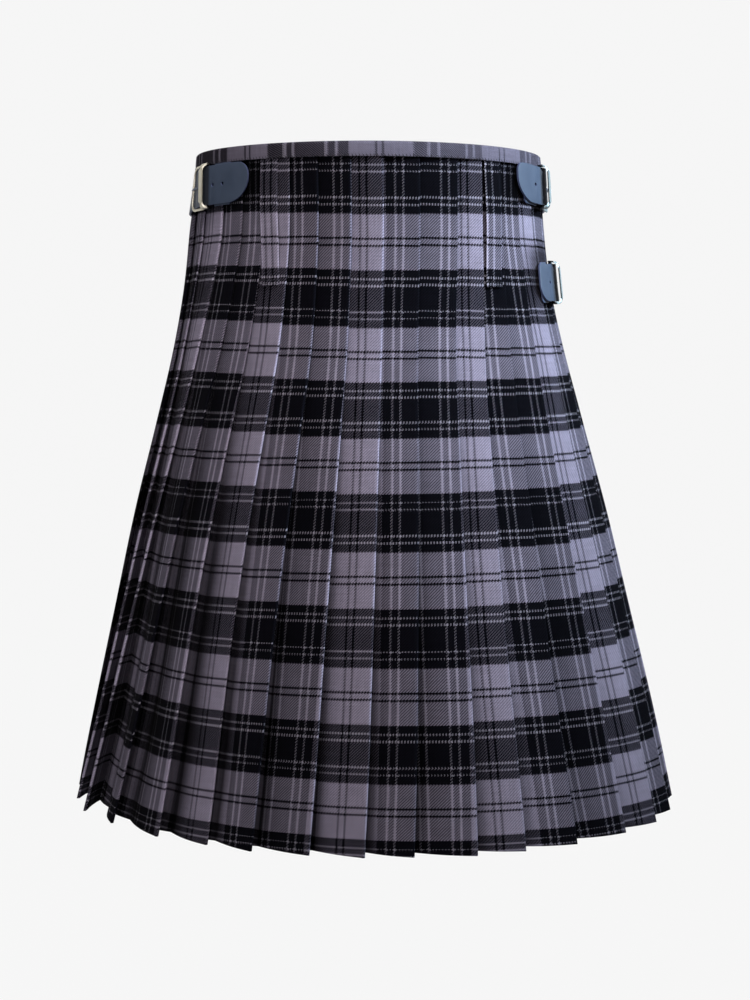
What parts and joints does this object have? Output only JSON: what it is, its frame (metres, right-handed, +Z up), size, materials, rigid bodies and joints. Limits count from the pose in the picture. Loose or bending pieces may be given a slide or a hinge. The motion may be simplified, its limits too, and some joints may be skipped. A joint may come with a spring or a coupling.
{
  "type": "scottish kilt",
  "caption": "Pleated tartan kilt in its worn, hollow form, with over- and under-apron, waistband, belt loops and buckled leather straps.",
  "frame": {"origin": "centre of the waist opening, where the wearer's waist holds the kilt", "axes": "+Z up through the waist, +Y the way the wearer faces, so the pleats face -Y, and +X the wearer's right"},
  "size_m": [0.5596, 0.4072, 0.6051],
  "materials": {
    "tartan": "matt worsted wool twill, lavender grey and black tartan with fine pale and dark lines",
    "waistband_tartan": "the same twill, cut so that its stripes run up and down",
    "black_leather": "smooth blue-black strap leather with a soft sheen",
    "buckle_metal": "polished pale metal, slightly warm"
  },
  "bodies": {
    "root": {"pleated_back": "tartan", "over_apron": "tartan", "under_apron": "tartan", "waistband": "waistband_tartan", "under_waistband": "waistband_tartan", "belt_loop_left": "tartan", "belt_loop_right": "tartan", "strap_left": "black_leather", "strap_right": "black_leather", "strap_hip": "black_leather", "tab_left": "black_leather", "tab_right": "black_leather", "tab_hip": "black_leather", "buckle_left": "buckle_metal", "buckle_right": "buckle_metal", "buckle_hip": "buckle_metal", "prong_left": "buckle_metal", "prong_right": "buckle_metal", "prong_hip": "buckle_metal"}
  },
  "joints": []
}
